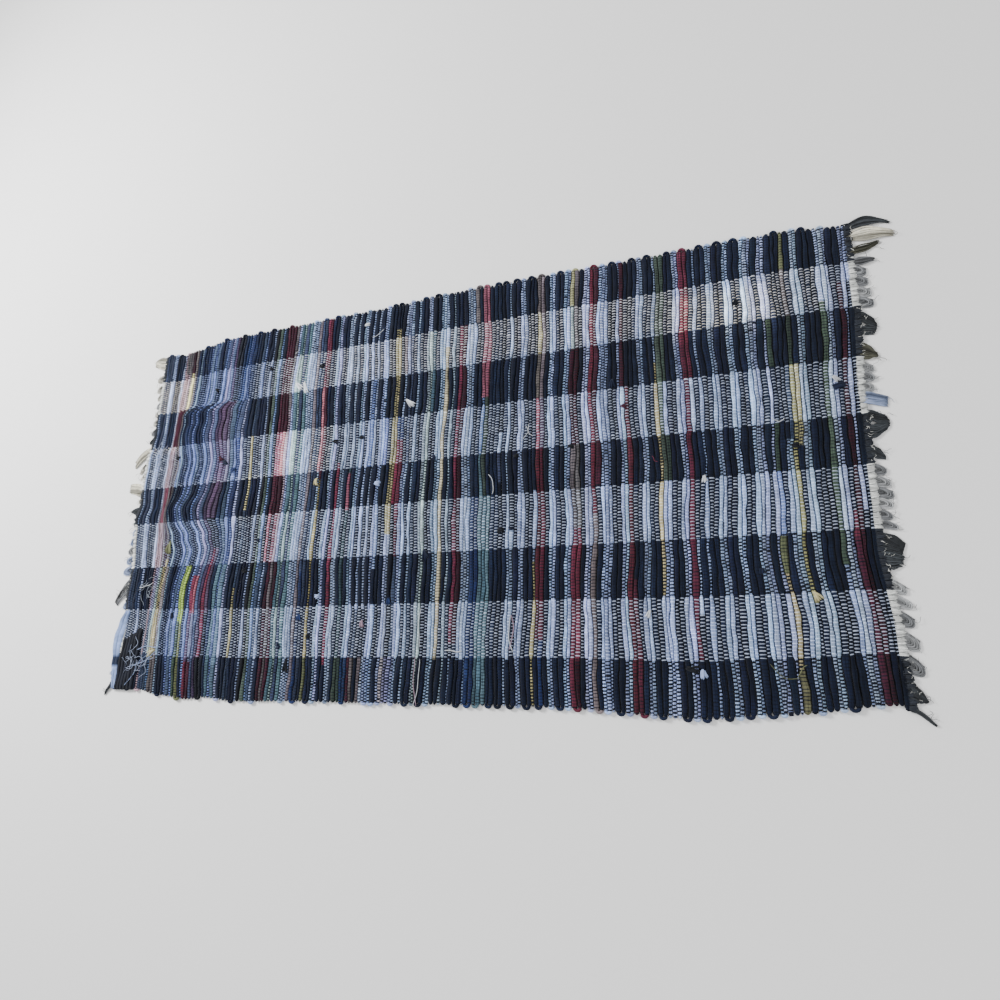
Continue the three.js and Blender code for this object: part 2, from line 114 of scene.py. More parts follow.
# Rags that were joined on along a weft: where the weft lies, from where to where across the other
# cloth shows, and over how many wefts if it is more than one
JOINS = rows_of("along start stop cloth wefts", """
    4 158 430 W, 12 158 430 N, 27 536 850 N, 64 536 850 N, 77 -30 67 E 3, 77 158 250 D 3,
    77 349 433 H 2, 77 536 630 L 3, 77 630 850 S 3, 98 67 158 Y, 90 536 731 C, 98 536 731 Y,
    106 520 731 Y, 98 731 850 P, 114 250 349 P, 114 536 850 E, 159 158 349 N, 173 158 250 N,
    173 536 655 V, 181 536 660 V, 173 655 850 G, 181 660 850 O, 203 560 640 R, 210 560 640 H,
    203 640 740 M, 210 640 740 L, 203 740 850 R, 210 740 850 D, 233 158 430 M 2, 233 500 731 R,
    241 500 640 M, 249 158 349 L, 257 158 536 S, 257 536 850 T, 271 158 250 S, 271 536 850 T,
    279 158 850 W, 303 250 420 Y, 303 590 731 Y, 310 158 850 N, 365 536 850 S, 373 250 349 H,
    381 250 349 H, 389 250 349 Q, 373 433 536 H, 389 433 536 H, 373 536 850 W, 381 536 850 N,
    400 200 536 F, 407 536 850 D, 415 67 158 C 2, 415 250 349 C 2, 472 560 850 B, 492 731 850 O,
    486 -30 158 R, 492 -30 100 R, 486 158 350 Q, 492 100 365 D, 486 536 850 N, 537 -30 335 N,
    537 745 850 N, 566 -30 349 W, 566 360 440 H, 566 731 850 G, 574 731 850 G, 581 731 850 B,
    588 731 850 B, 610 158 349 P, 602 640 731 S, 602 731 850 E, 617 640 731 N, 617 731 850 E,
    595 731 850 D, 624 731 850 W, 638 560 630 N, 645 250 349 P, 645 731 850 W, 660 -30 49 N,
    667 -30 49 N, 660 495 850 W, 667 495 731 W, 667 731 850 Z, 674 250 300 B, 674 300 433 R,
    674 731 850 L, 682 -30 67 W, 682 67 158 E, 682 158 250 W, 682 250 300 B, 682 540 731 S,
    682 731 850 L, 689 158 349 N, 696 67 349 S, 733 -30 67 W, 740 -30 67 W, 747 67 250 T,
    776 -30 110 W, 776 731 850 N, 806 -30 67 N, 806 705 731 N, 806 731 850 W, 814 -30 67 N,
    814 705 850 N, 821 731 850 N, 828 731 850 N, 842 -30 67 E, 842 433 850 B 2, 858 -30 232 H 2,
    858 232 349 P, 866 232 433 G, 874 -30 433 N, 898 310 349 W, 898 349 410 S, 920 500 731 W,
    964 -30 430 N, 964 560 850 Y, 972 -30 67 E, 972 67 158 Y, 972 158 250 E, 972 250 349 H,
    972 700 850 N, 980 -30 250 E, 980 250 349 M, 980 700 850 B, 1038 -30 67 A, 1038 67 158 C,
    1046 -30 158 E, 1038 349 505 E 2, 1038 505 850 R, 1046 505 731 R, 1075 480 850 E,
    1083 -30 430 D, 1083 430 850 N, 1136 -30 250 D, 1143 -30 250 N, 1151 600 850 R,
    1195 -30 210 W, 1195 630 850 W, 1202 433 850 W, 1210 -30 250 G, 1210 349 433 G,
    1246 731 850 N, 1254 250 349 W, 1254 349 536 N, 1254 536 660 W, 1254 660 850 N,
    1384 -30 158 W, 1384 250 349 N, 1384 433 540 P, 1384 540 600 O, 1384 600 745 Y,
    1384 745 850 O, 1400 -30 380 N, 1406 -30 250 N, 1406 250 380 S, 1412 -30 67 O, 1412 67 158 E,
    1412 158 250 G, 1412 645 850 N, 1420 250 392 Y, 1465 -30 140 W, 1465 590 850 W,
    1486 505 545 R, 1486 545 850 D, 1494 -30 110 N, 1501 505 850 N, 1508 -30 110 W
""")

# Patches of painted sunlight and painted shade: how many times as light they make dark and pale
# rags, how warm the painted sunlight is, and the shade of the light warp there
PAINTED_LIGHT_PATCHES = rows_of("left right far near dark pale warm red green blue", """
    -30 110 60 260 1.3 1.3 0 206 200 188
    110 288 -30 345 1.8 0.95 0 112 124 156
    90 288 425 740 1.5 1 0 124 136 164
    288 375 345 437 1 1.7 0 190 196 200
    375 520 -30 345 1.2 1.25 0 190 196 204
    520 1480 -30 150 1.15 1.2 0 200 202 208
    1222 1400 88 176 1.9 1.6 1 222 218 206
""")
# How much warmer painted sunlight makes the colour, in red, green and blue
PAINTED_SUN_WARMTH = np.array([1.1, 1, 0.86])
PATCH_EDGE = 24

# Ends of rags that stick out of the weave. They turn from 0 along it to 90 to the near edge.
RAG_ENDS = rows_of("along across turn length width cloth", """
    184 121 20 12 7 K, 336 90 60 12 7 K, 473 105 0 14 8 K, 95 280 0 14 8 K, 236 305 200 16 9 N,
    222 294 60 14 8 D, 261 324 160 14 8 B, 525 287 10 15 7 K, 354 490 30 10 6 N, 327 553 0 13 9 K,
    145 644 90 12 8 N, 500 690 0 9 6 K, 475 653 90 12 8 B, 432 708 90 12 7 N, 455 745 90 26 9 K,
    589 285 0 12 7 K, 759 346 90 12 6 N, 634 388 20 14 9 W, 750 540 60 20 12 N, 902 501 0 12 8 K,
    923 499 0 10 6 N, 1036 353 10 12 7 K, 930 360 0 10 6 K, 622 667 90 14 7 F, 677 626 90 14 6 B,
    515 612 160 12 8 W, 1336 117 90 13 8 K, 1484 298 170 18 10 N, 1480 284 60 14 8 Z,
    1411 392 0 12 8 K, 1266 435 90 14 8 Z, 1134 287 0 12 6 D, 1114 240 90 16 8 N,
    1166 658 100 14 7 Z, 1345 594 90 10 8 N, 1248 753 80 14 10 W, 1232 746 10 22 8 K,
    1420 636 60 16 9 Y, 582 24 0 12 6 Z, 486 372 90 16 9 Y, 108 492 100 28 12 O,
    416 144 50 26 9 Z, 434 150 75 30 8 Z, 698 222 40 24 10 Z, 100 722 150 26 9 A
""")
# Loose threads on the weave, and how far each one bows aside
THREADS = rows_of("along across to_along to_across bow thick cloth", """
    598 58 625 42 3 0.6 Z, 800 716 834 719 1 0.9 Z, 741 728 747 815 4 0.7 F,
    750 732 741 816 -4 0.7 Z, 747 640 749 712 3 0.6 Z, 950 303 963 326 2 0.6 Z,
    1346 736 1386 758 9 0.6 O, 1384 758 1397 738 -3 0.6 O, 926 656 930 720 6 0.8 Z,
    927 656 922 716 -6 0.8 F, 876 392 884 432 -6 0.8 Z, 1378 340 1398 344 6 0.6 Z,
    40 580 78 570 3 0.7 Z, 1182 386 1190 399 2 0.5 R, 400 64 409 49 2 0.6 Z,
    956 300 944 330 -3 0.5 Z, 60 716 118 712 -5 0.9 W, 44 752 112 722 6 0.8 W,
    38 792 66 742 8 0.7 W, 70 748 96 726 -4 0.7 W
""")

# Fringe locks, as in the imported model: where their line starts, bends and ends across, how far
# they reach past the weave, their widths at root, belly and tip, and their cotton
LOCK_COLUMNS = "root middle tip reach root_width belly_width tip_width cotton"
LEFT_LOCKS = rows_of(LOCK_COLUMNS, """
    26 22 18 47 34 32 20 c, 64 66 70 28 17 18 13 l, 88 90 94 24 18 18 13 l,
    112 114 117 18 17 18 13 l, 134 136 138 17 16 17 13 g, 156 158 161 18 17 18 13 l,
    179 181 184 19 17 18 13 l, 202 204 207 20 17 17 13 g, 224 226 231 19 16 15 10 d,
    248 261 284 45 20 24 18 c, 282 292 306 24 18 14 8 l, 310 316 322 16 16 12 6 l,
    352 344 341 49 16 30 24 c, 374 376 379 15 14 12 7 l, 402 399 399 34 28 17 4 d,
    428 430 433 13 16 14 8 d, 449 451 455 13 16 16 13 b, 470 473 478 17 17 17 14 b,
    491 494 499 23 18 18 15 g, 513 516 520 28 18 18 15 b, 536 540 544 33 20 20 15 b,
    567 584 611 44 34 31 13 g, 612 618 624 18 18 13 7 b, 642 644 648 18 20 20 16 b,
    665 667 671 18 20 20 16 b, 688 690 694 19 20 20 16 b, 711 713 717 18 20 20 16 b,
    734 736 740 16 20 20 16 b, 757 759 763 14 20 19 15 b, 784 795 811 22 20 10 4 d
""")
RIGHT_LOCKS = rows_of(LOCK_COLUMNS, """
    11 2 12 70 13 19 5 d, 27 27 33 74 12 26 13 c, 57 53 45 50 10 13 6 o, 72 76 75 40 8 15 4 g,
    90 93 98 24 18 18 16 g, 110 113 117 25 18 18 16 g, 130 133 137 27 18 18 16 h,
    150 153 158 29 18 19 17 g, 190 192 199 31 36 42 30 d, 236 243 250 30 30 26 6 o,
    266 269 273 22 15 16 13 h, 283 286 290 22 15 16 13 g, 300 303 306 21 15 16 13 h,
    321 325 332 40 18 22 19 b, 364 367 366 38 44 48 26 d, 409 415 424 26 30 22 6 d,
    440 443 448 23 16 16 14 g, 458 461 466 27 16 16 14 h, 476 479 484 29 16 16 14 g,
    494 497 501 26 15 15 12 h, 511 514 519 24 14 14 7 g, 526 530 536 29 11 11 5 g,
    566 571 577 32 56 56 38 d, 619 624 631 23 20 18 14 h, 643 648 654 25 15 16 11 h,
    667 673 679 23 19 21 17 g, 696 704 711 25 20 24 19 h, 729 738 745 26 30 25 14 g,
    771 779 787 24 34 22 5 d, 796 805 819 30 9 8 3 d
""")
# Dark, olive, grey, pale grey, light, cream and blue
COTTONS = {
    "d": (54, 58, 62), "o": (74, 74, 64), "g": (116, 118, 121), "h": (150, 152, 154),
    "l": (172, 170, 162), "c": (196, 192, 176), "b": (136, 150, 182),
}
LOOPED_COTTONS, LOOPED_REACH = "ghlb", 35
BELLY_AT = 0.45
# Eyelets: which lock, how far along it and to its side, and the radius
LEFT_EYELETS = {21: (0.62, 0.2, 5.0)}
RIGHT_EYELETS = {8: (0.4, 0.15, 3.4), 14: (0.38, -0.05, 3.2)}


def linear(colour):
    """An sRGB colour out of 255, as the shader's linear values."""
    share = np.asarray(colour, float) / 255
    return np.where(share <= 0.04045, share / 12.92, ((share + 0.055) / 1.055) ** 2.4)


def ease(share):
    u = np.clip(share, 0, 1)
    return u * u * (3 - 2 * u)


def follow(table, place):
    """The second value of a table's pairs at a place in its first, eased from row to row."""
    keys, values = np.array(table, float).T
    place = np.asarray(place, float)
    i = np.clip(np.searchsorted(keys, place), 1, len(keys) - 1)
    share = ease((place - keys[i - 1]) / (keys[i] - keys[i - 1]))
    return values[i - 1] + (values[i] - values[i - 1]) * share


def waves(table, along, across):
    return sum(
        height * np.sin(2 * np.pi * (across / over + along / run)) for height, over, run in table
    )


def shift_at(along, across):
    """How far the weave is shifted along by its uneven ends, its ruck and the weaver's hand."""
    left = follow(LEFT_END, across) * (1 - ease(along / LEFT_END_REACH))
    taken = ease((along - SLID_FROM) / (SLID_FULL - SLID_FROM))
    slid = follow(SLID, across) * taken * (1 - ease((along - SLID_FADE) / (SLID_END - SLID_FADE)))
    right = follow(RIGHT_END, across) * ease((along - SLANT_FROM) / (LENGTH - SLANT_FROM))
    inside = ease(along / WIGGLE_FADE) * ease((LENGTH - along) / WIGGLE_FADE)
    return left + slid + right + waves(WIGGLES, along, across) * inside


def lift_at(along, across):
    lift = 0
    for crease in CREASES:
        reach = (crease["to"] - crease["from"]) / 3
        ends = ease((along - crease["from"]) / reach) * ease((crease["to"] - along) / reach)
        off = np.abs(across - crease["across"]) / crease["width"]
        lift = lift + crease["height"] * ends * ease(1 - off)
    return lift


def rough_line(rows, stations, knots, strength):
    """Smooth random lines, one a row, through so many random knots."""
    heights = dice.normal(size=(rows, knots)) * strength
    at = np.linspace(0, knots - 1.001, stations)
    low = at.astype(int)
    share = ease(at - low)
    return heights[:, low] * (1 - share) + heights[:, low + 1] * share


def fill(rows, key, values, kind=np.float32):
    rows.foreach_set(key, values.astype(kind).ravel())


class Heap:
    """Gathers tubes and strips into one mesh, with a colour at each point and a place in a map."""

    def __init__(self, number=0):
        self.points, self.colours, self.loops, self.sizes, self.places = [], [], [], [], []
        self.strands = []
        self.count = 0
        self.tubes = 100 * number

    def add(self, rings, colours, closed=True, band=(0.0, 1.0), columns=None):
        """rings is [tube, station, corner, xyz]; colours has the same shape, or one a station."""
        tubes, stations, corners, _ = rings.shape
        if colours.ndim == 3:
            colours = np.repeat(colours[:, :, None, :], corners, 2)
        index = self.count + np.arange(tubes * stations * corners).reshape(
            tubes, stations, corners
        )
        self.count += index.size
        self.points.append(rings.reshape(-1, 3))
        self.strands.append(self.along_strand(rings, closed).reshape(-1, 3))
        self.tubes += tubes
        self.colours.append(colours.reshape(-1, 3))
        sides = corners if closed else corners - 1
        j = np.arange(stations - 1)[:, None]
        k = np.arange(sides)[None, :]
        after = (k + 1) % corners
        quads = np.stack(
            [index[:, j, k], index[:, j + 1, k], index[:, j + 1, after], index[:, j, after]], -1
        )
        self.loops.append(quads.ravel())
        self.sizes.append(np.full(quads.size // 4, 4))

        columns = columns or math.ceil(math.sqrt(tubes))
        rows = math.ceil(tubes / columns)
        tube = np.arange(tubes)[:, None, None]
        margin = 0.04
        cell_u = (tube % columns + margin) / columns
        cell_v = band[0] + (tube // columns + margin) / rows * (band[1] - band[0])
        wide = (1 - 2 * margin) / columns
        high = (1 - 2 * margin) / rows * (band[1] - band[0])
        u0, u1 = cell_u + wide * k / sides, cell_u + wide * (k + 1) / sides
        v0, v1 = cell_v + high * j / (stations - 1), cell_v + high * (j + 1) / (stations - 1)
        grid = np.broadcast_arrays(u0, v0, u0, v1, u1, v1, u1, v0)
        self.places.append(np.stack(grid, -1).reshape(-1, 2))
        if closed:
            first, last = index[:, 0, :], index[:, -1, ::-1]
            for cap, level in ((first, v0[:, 0, :]), (last, v1[:, -1, :])):
                self.loops.append(cap.ravel())
                self.sizes.append(np.full(tubes, corners))
                around = np.broadcast_to(u0[:, 0, :], cap.shape)
                self.places.append(
                    np.stack(np.broadcast_arrays(around, level), -1).reshape(-1, 2)
                )

    def along_strand(self, rings, closed):
        """Places on a round strand: around it, and along it in centimetres, and its number."""
        tubes, _, corners, _ = rings.shape
        steps = np.linalg.norm(np.diff(rings.mean(2), axis=1), axis=-1) / 10
        run = np.concatenate([np.zeros((tubes, 1)), np.cumsum(steps, 1)], 1)[:, :, None]
        turn = np.arange(corners) / corners * 2 * np.pi
        if not closed:
            turn = np.linspace(-1, 1, corners)
        apart = 4.0 * (self.tubes + np.arange(tubes))[:, None, None]
        return np.stack(np.broadcast_arrays(apart + np.sin(turn), run, np.cos(turn)), -1)

    def piece(self, name, material):
        """The mesh as a piece of the rug that rides on its one body."""
        points = np.concatenate(self.points)
        placed = np.stack(
            [points[:, 0] - MIDDLE_ALONG, MIDDLE_ACROSS - points[:, 1], points[:, 2]], 1
        )
        loops, places = np.concatenate(self.loops), np.concatenate(self.places)
        sizes = np.concatenate(self.sizes)
        starts = np.concatenate([[0], np.cumsum(sizes)[:-1]])
        mesh = bpy.data.meshes.new(name)
        mesh.vertices.add(len(placed))
        fill(mesh.vertices, "co", placed * MM)
        mesh.loops.add(len(loops))
        fill(mesh.loops, "vertex_index", loops, np.int32)
        mesh.polygons.add(len(sizes))
        fill(mesh.polygons, "loop_start", starts, np.int32)
        fill(mesh.polygons, "use_smooth", np.ones(len(sizes)), bool)
        fill(mesh.uv_layers.new(name="OFBake").data, "uv", places)
        shade = mesh.color_attributes.new("cotton", "FLOAT_COLOR", "POINT")
        fill(shade.data, "color", np.insert(np.concatenate(self.colours), 3, 1, axis=1))
        strand = mesh.attributes.new("strand", "FLOAT_VECTOR", "POINT")
        fill(strand.data, "vector", np.concatenate(self.strands))
        mesh.update(calc_edges=True)
        mesh.validate()
        thing = bpy.data.objects.new(name, mesh)
        bpy.context.scene.collection.objects.link(thing)
        mesh.materials.append(material)
        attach(thing, "root")
        return thing


# Wefts

rags = [c for c, n in re.findall(r"([A-Z])(\d+)", RAG_ORDER) for _ in range(int(n))]
pale = np.array([rag in PALE_RAGS for rag in rags])
widths = np.where(pale, RAG_WIDTH["pale"], RAG_WIDTH["dark"])
ends = np.cumsum(widths)
middles = (ends - widths / 2) / ends[-1] * LENGTH
wefts = len(rags)

lanes = np.arange(WARPS + 1)
lane_share = lanes / WARPS
lane_level = FAR_LEVEL + (NEAR_LEVEL - FAR_LEVEL) * lane_share
LANE_PITCH = (NEAR_LEVEL - FAR_LEVEL) / WARPS

# A lane follows the long edge beside it, and runs straight inside the rug
EDGE_INSET = 3.5
EDGE_HOLD = 7
far_off = follow(FAR_EDGE, middles) + EDGE_INSET - FAR_LEVEL
near_off = follow(NEAR_EDGE, middles) - EDGE_INSET - NEAR_LEVEL
across = (
    lane_level
    + far_off[:, None] * (1 - lane_share) ** EDGE_HOLD
    + near_off[:, None] * lane_share**EDGE_HOLD
)


def light_warp(level, softness):
    """0 where the warp is dark and 1 where it is light."""
    light = 0
    for number, border in enumerate(WARP_BORDERS):
        light = light + (-1) ** number * ease((level - border) / softness + 0.5)
    return light


# Which cloth shows where
shown_rag = np.repeat(np.array(rags)[:, None], WARPS + 1, 1)
patched = []
for join in JOINS:
    first = int(np.argmin(np.abs(middles - join.along)))
    for weft in range(first, min(first + int(getattr(join, "wefts", 1)), wefts)):
        span = (across[weft] > join.start) & (across[weft] < join.stop)
        shown_rag[weft, span] = join.cloth
        patched.append((weft, span, join.cloth))
pale_at = np.isin(shown_rag, list(PALE_RAGS))

light = light_warp(lane_level, 8)


def held(table):
    """Values of a table for each rag and warp end."""
    in_pale = table["pale_dark"] + (table["pale_light"] - table["pale_dark"]) * light
    in_dark = table["dark_dark"] + (table["dark_light"] - table["dark_dark"]) * light
    return np.where(pale_at, in_pale, in_dark)


pull = np.where(pale_at, RAG_WIDTH["pale"], RAG_WIDTH["dark"]) * (1 + held(SWELL))
pull = pull * np.exp(rough_line(wefts, WARPS + 1, 24, 0.1))

# Valleys between the wefts
valleys = np.zeros((wefts + 1, WARPS + 1))
share = pull[:-1] / (pull[:-1] + pull[1:])
valleys[1:-1] = middles[:-1, None] + (middles[1:] - middles[:-1])[:, None] * share
valleys[1:-1] += rough_line(wefts - 1, WARPS + 1, 14, 0.75)
valleys[1:-1] += rough_line(wefts - 1, WARPS + 1, 45, 0.65)
valleys[-1] = LENGTH
valley_across = np.concatenate([across[:1], (across[1:] + across[:-1]) / 2, across[-1:]])
valleys = valleys + shift_at(valleys, valley_across)

crest_along = (valleys[1:] + valleys[:-1]) / 2
half = (valleys[1:] - valleys[:-1]) / 2
flat_along = np.broadcast_to(middles[:, None], across.shape)
lift = lift_at(flat_along, across)
plump = rough_line(wefts, WARPS + 1, 60, 0.05) + rough_line(wefts, WARPS + 1, 150, 0.035)

# A warp end crosses on top of every second weft, and under the next
on_top = (lanes[None, :] + np.arange(wefts)[:, None]) % 2 == 0
# How far a warp end presses a rag in
PRESS = {"pale_light": 0.6, "pale_dark": 2.2, "dark_light": 1.9, "dark_dark": 0.8}
# and how much narrower it draws the rag
PINCH = {"pale_light": 0.04, "pale_dark": 0.22, "dark_light": 0.1, "dark_dark": 0.04}
press = held(PRESS) * np.exp(dice.normal(size=across.shape) * 0.15)
pinch = held(PINCH) * on_top
# How high a rag stands, and how much higher in warp of its own shade
RAG_HEIGHT, PROUD = 7.1, 0.3
own_shade = np.where(pale_at, 2 * light - 1, 1 - 2 * light)
crown = (RAG_HEIGHT + PROUD * own_shade) * (1 + plump) + waves(LUMPS, flat_along, across)
edge_fall = 1.2 * (1 - ease(lane_share * 30)) + 1.2 * (1 - ease((1 - lane_share) * 30))
crown = crown - edge_fall - press * on_top
shoulder = 0.45 * crown + 0.15 * press * ~on_top
# A rag is folded lengthwise, and the crease wanders over its back
crease_aside = np.clip(rough_line(wefts, WARPS + 1, 11, 0.22), -0.34, 0.34)
crease_deep = np.clip(0.8 + rough_line(wefts, WARPS + 1, 16, 0.5), 0.1, 1.8)

cloth = np.array([linear(CLOTHS[rag]) for rag in rags])
colour = np.repeat(cloth[:, None, :], WARPS + 1, 1)
# Each weft is a strip of its own: a little lighter, darker, bluer or greyer than the next
own = np.clip(dice.normal(size=(wefts, 1, 1)), -2, 1.1)
own = np.exp(own * np.where(pale, 0.2, 0.34)[:, None, None])
hue = 1 + dice.normal(size=(wefts, 1, 3)) * 0.05
colour = colour * own * hue
for weft, span, rag in patched:
    tint = np.exp(dice.normal() * 0.15) * (1 + dice.normal(size=3) * 0.04)
    colour[weft, span] = linear(CLOTHS[rag]) * tint
warp_shade = np.broadcast_to(linear(WARP_LIGHT), colour.shape)
# Painted sunlight and shade: the rags and the light warp are made lighter or darker in patches
for patch in PAINTED_LIGHT_PATCHES:
    strength = np.ones(across.shape)
    for inwards in (
        flat_along - patch.left,
        patch.right - flat_along,
        across - patch.far,
        patch.near - across,
    ):
        strength = strength * ease(inwards / PATCH_EDGE + 0.5)
    painted_lighter = np.where(pale_at, patch.pale, patch.dark)[:, :, None] * PAINTED_SUN_WARMTH**patch.warm
    strength = strength[:, :, None]
    colour = colour * (1 + (painted_lighter - 1) * strength)
    warp_there = linear((patch.red, patch.green, patch.blue))
    warp_shade = warp_shade * (1 - strength) + warp_there * strength
# Rags fade and change along their length
colour = colour * np.exp(rough_line(wefts, WARPS + 1, 14, 0.18))[:, :, None]
colour = colour * np.exp(rough_line(wefts, WARPS + 1, 70, 0.12))[:, :, None]

# A rag's section: how far its crests lie beside the crease and its shoulders from the middle, as
# shares of its half width, how high its middle is, and how light each corner is painted: painted
# shade in the crease and down the shoulders between the rags, and a faint painted highlight on one
# crest
CREST, TUCK, RAG_MIDDLE = 0.4, 1.03, 3.6
CORNER_PAINTED_SHADE = np.array([0.74, 1.06, 0.42, 0.42, 1.0])
# How full a rag is at its last two lanes
END_FULL = [0.3, 0.85]


def weft_rings(which):
    """Rings of five corners: a crease between two crests, and two shoulders."""
    side = half[which] * TUCK * (1 - pinch[which])
    fold = crease_aside[which]
    corners = [
        (fold, crown[which] - crease_deep[which]),
        (fold + CREST, crown[which]),
        (1, shoulder[which]),
        (-1, shoulder[which]),
        (fold - CREST, crown[which]),
    ]
    dome = np.ones(WARPS + 1)
    dome[:2] = END_FULL
    dome[-2:] = END_FULL[::-1]
    rings = []
    for out, height in corners:
        z = RAG_MIDDLE + (height - RAG_MIDDLE) * dome + lift[which]
        rings.append(np.stack([crest_along[which] + out * side * dome, across[which], z], -1))
    return np.stack(rings, 2)


# A rag's turn: its half width and height, how high its middle is, its stations and corners, how
# far it starts inside the edge, and how flat its bow is
TURN_REACH, TURN_THICK, TURN_MIDDLE = 3.1, 3.3, 3.5
TURN_STATIONS, TURN_CORNERS = 7, 6
TURN_INSET, TURN_FLAT = 1.5, 0.85


def turn_rings(first, second, near):
    """The turns where a rag goes back on itself, from weft first to weft second at one edge."""
    lane = WARPS if near else 0
    outwards = 1 if near else -1
    start, stop = crest_along[first, lane], crest_along[second, lane]
    level = (across[first, lane] + across[second, lane]) / 2 - TURN_INSET * outwards
    centre, radius = (start + stop) / 2, (stop - start) / 2
    turn = np.linspace(0, np.pi, TURN_STATIONS)[None, :, None]
    around = (np.arange(TURN_CORNERS) / TURN_CORNERS * 2 * np.pi)[None, None, :]
    reach = radius[:, None, None] + TURN_REACH * np.cos(around)
    along = centre[:, None, None] - reach * np.cos(turn)
    over = level[:, None, None] + outwards * reach * np.sin(turn) * TURN_FLAT
    z = TURN_MIDDLE + TURN_THICK * np.sin(around)
    z = z + lift[first, lane][:, None, None]
    rings = np.stack(np.broadcast_arrays(along, over, z), -1)
    return rings if near else rings[:, :, ::-1, :]


def turning_pairs():
    """The first weft of each pair that is one rag, which turns at the edges."""
    pairs = []
    weft = 0
    while weft < wefts - 1:
        if rags[weft] == rags[weft + 1]:
            pairs.append(weft)
            weft += 1
        weft += 1
    return np.array(pairs)


# Half widths of the warp's threads: over pale and dark rags, where the warp is light and dark
THREAD = {"pale_light": 0.7, "dark_light": 0.8, "pale_dark": 1.4, "dark_dark": 0.6}
# How much of its own shade and of the rag's a light thread shows
OWN_LIGHT, RAG_LIGHT = 0.8, 0.7


def tick_rings(which):
    """The stretches of warp that cross over the wefts, as strips in four stations."""
    weft, lane = np.nonzero(on_top[which])
    weft = weft + which[0]
    inside = (lane > 0) & (lane < WARPS)
    weft, lane = weft[inside], lane[inside]
    is_light = light_warp(lane_level[lane], 0.01) > 0.5
    on_pale = pale_at[weft, lane]
    on_light = np.where(on_pale, THREAD["pale_light"], THREAD["dark_light"])
    on_dark = np.where(on_pale, THREAD["pale_dark"], THREAD["dark_dark"])
    thread = np.where(is_light, on_light, on_dark)
    thread = thread * np.exp(0.2 * dice.normal(size=len(lane)))
    # The rag swells on both sides of the thread, which lies in its dent
    swell = press[weft, lane] / LANE_PITCH * thread + 0.15
    fold = crease_aside[weft, lane]
    x, y = crest_along[weft, lane], across[weft, lane]
    reach = half[weft, lane] * (1 - 0.5 * pinch[weft, lane])
    high = crown[weft, lane] + lift[weft, lane] + swell
    low = shoulder[weft, lane] + lift[weft, lane] + 1.3 * swell
    low = low + 0.2 * (high - low)
    lean = dice.normal(size=len(lane)) * 0.25
    y = y + dice.normal(size=len(lane)) * 0.2
    stations = [
        (-0.9, low, 0.85),
        (fold - CREST, high, 1),
        (fold + CREST, high, 1),
        (0.9, low, 0.85),
    ]
    rings = []
    for out, z, thin in stations:
        middle = y + out * lean
        line = x + out * reach
        edges = [np.stack([line, middle + side * thread * thin, z], -1) for side in (-1, 1)]
        rings.append(np.stack(edges, 1))
    # The light warp's colour carries the patches' painted sunlight and shade
    lit = warp_shade[weft, lane] * OWN_LIGHT + colour[weft, lane] * RAG_LIGHT
    colours = np.where(is_light[:, None], lit, linear(WARP_DARK))
    colours = colours * np.exp(dice.normal(size=(len(lane), 1)) * 0.12)
    return np.stack(rings, 1), np.repeat(colours[:, None, :], len(stations), 1)


# Materials


class Shades:
    """Builds one procedural cotton, whose base colour lies in the mesh."""

    def __init__(self, name, roughness, sheen):
        self.material = bpy.data.materials.new(name)
        self.material.use_nodes = True
        tree = self.material.node_tree
        self.nodes, self.links = tree.nodes, tree.links
        self.shader = self.nodes["Principled BSDF"]
        self.shader.inputs["Roughness"].default_value = roughness
        self.shader.inputs["Sheen Weight"].default_value = sheen
        self.shader.inputs["Sheen Roughness"].default_value = 0.6
        self.shader.inputs["Specular IOR Level"].default_value = 0.15
        self.strand = self.node("Attribute", {}, attribute_name="strand").outputs["Vector"]
        self.place = self.node("TexCoord", {}).outputs["Object"]

    def node(self, kind, given, **settings):
        """A shader node; given holds, by input, a value or the output that feeds it."""
        node = self.nodes.new("ShaderNode" + kind)
        for name, value in settings.items():
            setattr(node, name, value)
        for name, value in given.items():
            if isinstance(value, bpy.types.NodeSocket):
                self.links.new(value, node.inputs[name])
            else:
                node.inputs[name].default_value = value
        return node

    def noise(self, where, scale, detail):
        """Noise that is stretched by a scale for each of the three directions."""
        stretched = self.node("Mapping", {"Vector": where, "Scale": scale}).outputs["Vector"]
        given = {"Vector": stretched, "Scale": 1.0, "Detail": detail}
        return self.node("TexNoise", given).outputs["Fac"]

    def ranged(self, value, low, high):
        given = {"Value": value, "From Min": 0.3, "From Max": 0.7, "To Min": low, "To Max": high}
        return self.node("MapRange", given).outputs["Result"]

    def times(self, first, second):
        return self.node("Math", {0: first, 1: second}, operation="MULTIPLY").outputs[0]

    def tone(self, value):
        own = self.node("Attribute", {}, attribute_name="cotton").outputs["Color"]
        shaded = self.node("VectorMath", {0: own, "Scale": value}, operation="SCALE")
        self.links.new(shaded.outputs["Vector"], self.shader.inputs["Base Color"])

    def bumps(self, heights):
        """Bumps on one another, from pairs of a height and its reach in metres."""
        below = {}
        for height, distance in heights:
            given = {"Height": height, "Strength": 1.0, "Distance": distance, **below}
            below = {"Normal": self.node("Bump", given).outputs["Normal"]}
        self.links.new(below["Normal"], self.shader.inputs["Normal"])


